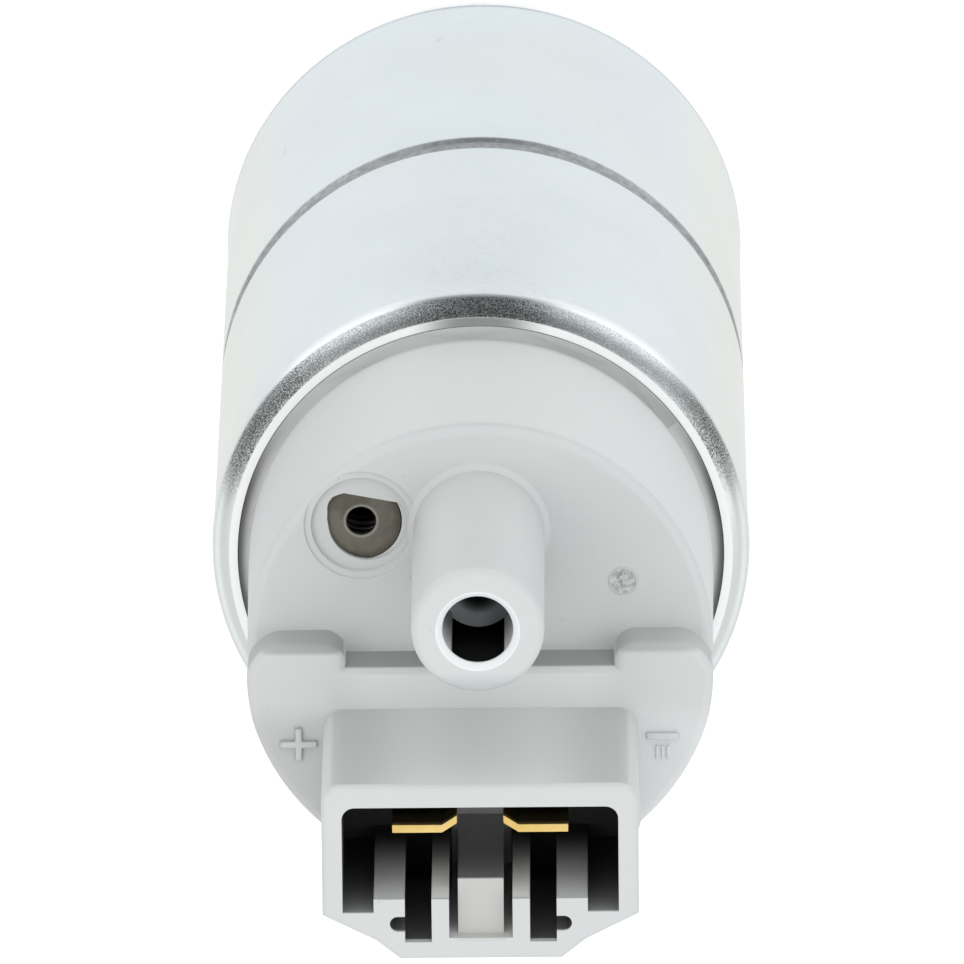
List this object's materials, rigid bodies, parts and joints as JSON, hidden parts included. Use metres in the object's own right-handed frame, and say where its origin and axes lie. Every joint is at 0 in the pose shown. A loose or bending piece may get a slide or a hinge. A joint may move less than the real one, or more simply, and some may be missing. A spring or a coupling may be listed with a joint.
{
  "type": "electric fuel pump",
  "caption": "In-tank electric fuel pump: plated steel can rolled over a moulded cap with outlet tube, two-pin connector socket and relief valve; turbine motor inside.",
  "frame": {"origin": "centre of the plane that the can's rear rim stands on", "axes": "+Z along the motor shaft towards the outlet and connector; +Y from the shaft towards the outlet tube; the connector is on the -Y side; the relief valve is on the -X side"},
  "size_m": [0.0382, 0.0382, 0.1035],
  "materials": {
    "can_zinc": "zinc plated, satin",
    "cap_plastic": "moulded, satin",
    "pump_end": "die cast, machined face",
    "impeller_resin": "moulded resin",
    "hard_steel": "ground",
    "sintered_bronze": "sintered",
    "ferrite": "fired, dull",
    "spring_steel": "drawn",
    "lamination": "stamped sheet",
    "copper_wire": "enamelled",
    "carbon": "pressed carbon",
    "holder_plastic": "moulded",
    "guide_plastic": "moulded",
    "terminal_brass": "stamped",
    "seal_rubber": "matt",
    "relief_metal": "drawn, dull"
  },
  "bodies": {
    "housing": {"motor_can": "can_zinc", "end_cap": "cap_plastic", "inlet_cover": "pump_end", "pump_casing": "pump_end", "thrust_pad": "hard_steel", "lower_bearing": "sintered_bronze", "upper_bearing": "sintered_bronze", "magnet_a": "ferrite", "magnet_b": "ferrite", "magnet_clip_a": "spring_steel", "magnet_clip_b": "spring_steel", "brush_holder": "holder_plastic", "brush_spring_a": "spring_steel", "brush_spring_b": "spring_steel", "choke_core_positive": "ferrite", "choke_core_negative": "ferrite", "choke_winding_positive": "copper_wire", "choke_winding_negative": "copper_wire", "terminal_positive": "terminal_brass", "terminal_negative": "terminal_brass", "cap_seal": "seal_rubber", "valve_seat": "holder_plastic", "check_spring": "spring_steel", "valve_guide": "guide_plastic", "relief_body": "relief_metal", "relief_seat": "holder_plastic", "relief_spring": "spring_steel"},
    "rotor": {"shaft": "hard_steel", "impeller": "impeller_resin", "armature_core": "lamination", "armature_winding": "copper_wire", "commutator_hub": "holder_plastic", "commutator": "carbon"},
    "brush_a": {"brush_a": "carbon"},
    "brush_b": {"brush_b": "carbon"},
    "check_poppet": {"check_poppet": "holder_plastic"},
    "relief_ball": {"relief_ball": "hard_steel"}
  },
  "joints": [
    {"name": "rotor_spin", "type": "hinge", "parent": "housing", "child": "rotor", "pos_m": [0, 0, 0], "axis": [0, 0, 1], "continuous": true},
    {"name": "brush_a_slide", "type": "slide", "parent": "housing", "child": "brush_a", "axis": [0, 0, 1], "range_m": [0, 0.003], "stiffness_N_per_m": 150, "springref_m": -0.004, "deforming": ["brush_spring_a"]},
    {"name": "brush_b_slide", "type": "slide", "parent": "housing", "child": "brush_b", "axis": [0, 0, 1], "range_m": [0, 0.003], "stiffness_N_per_m": 150, "springref_m": -0.004, "deforming": ["brush_spring_b"]},
    {"name": "poppet_lift", "type": "slide", "parent": "housing", "child": "check_poppet", "axis": [0, 0, 1], "range_m": [0, 0.0018], "stiffness_N_per_m": 100, "springref_m": -0.003, "deforming": ["check_spring"]},
    {"name": "relief_lift", "type": "slide", "parent": "housing", "child": "relief_ball", "axis": [0, 0, 1], "range_m": [0, 0.001], "stiffness_N_per_m": 1200, "springref_m": -0.001, "deforming": ["relief_spring"]}
  ]
}
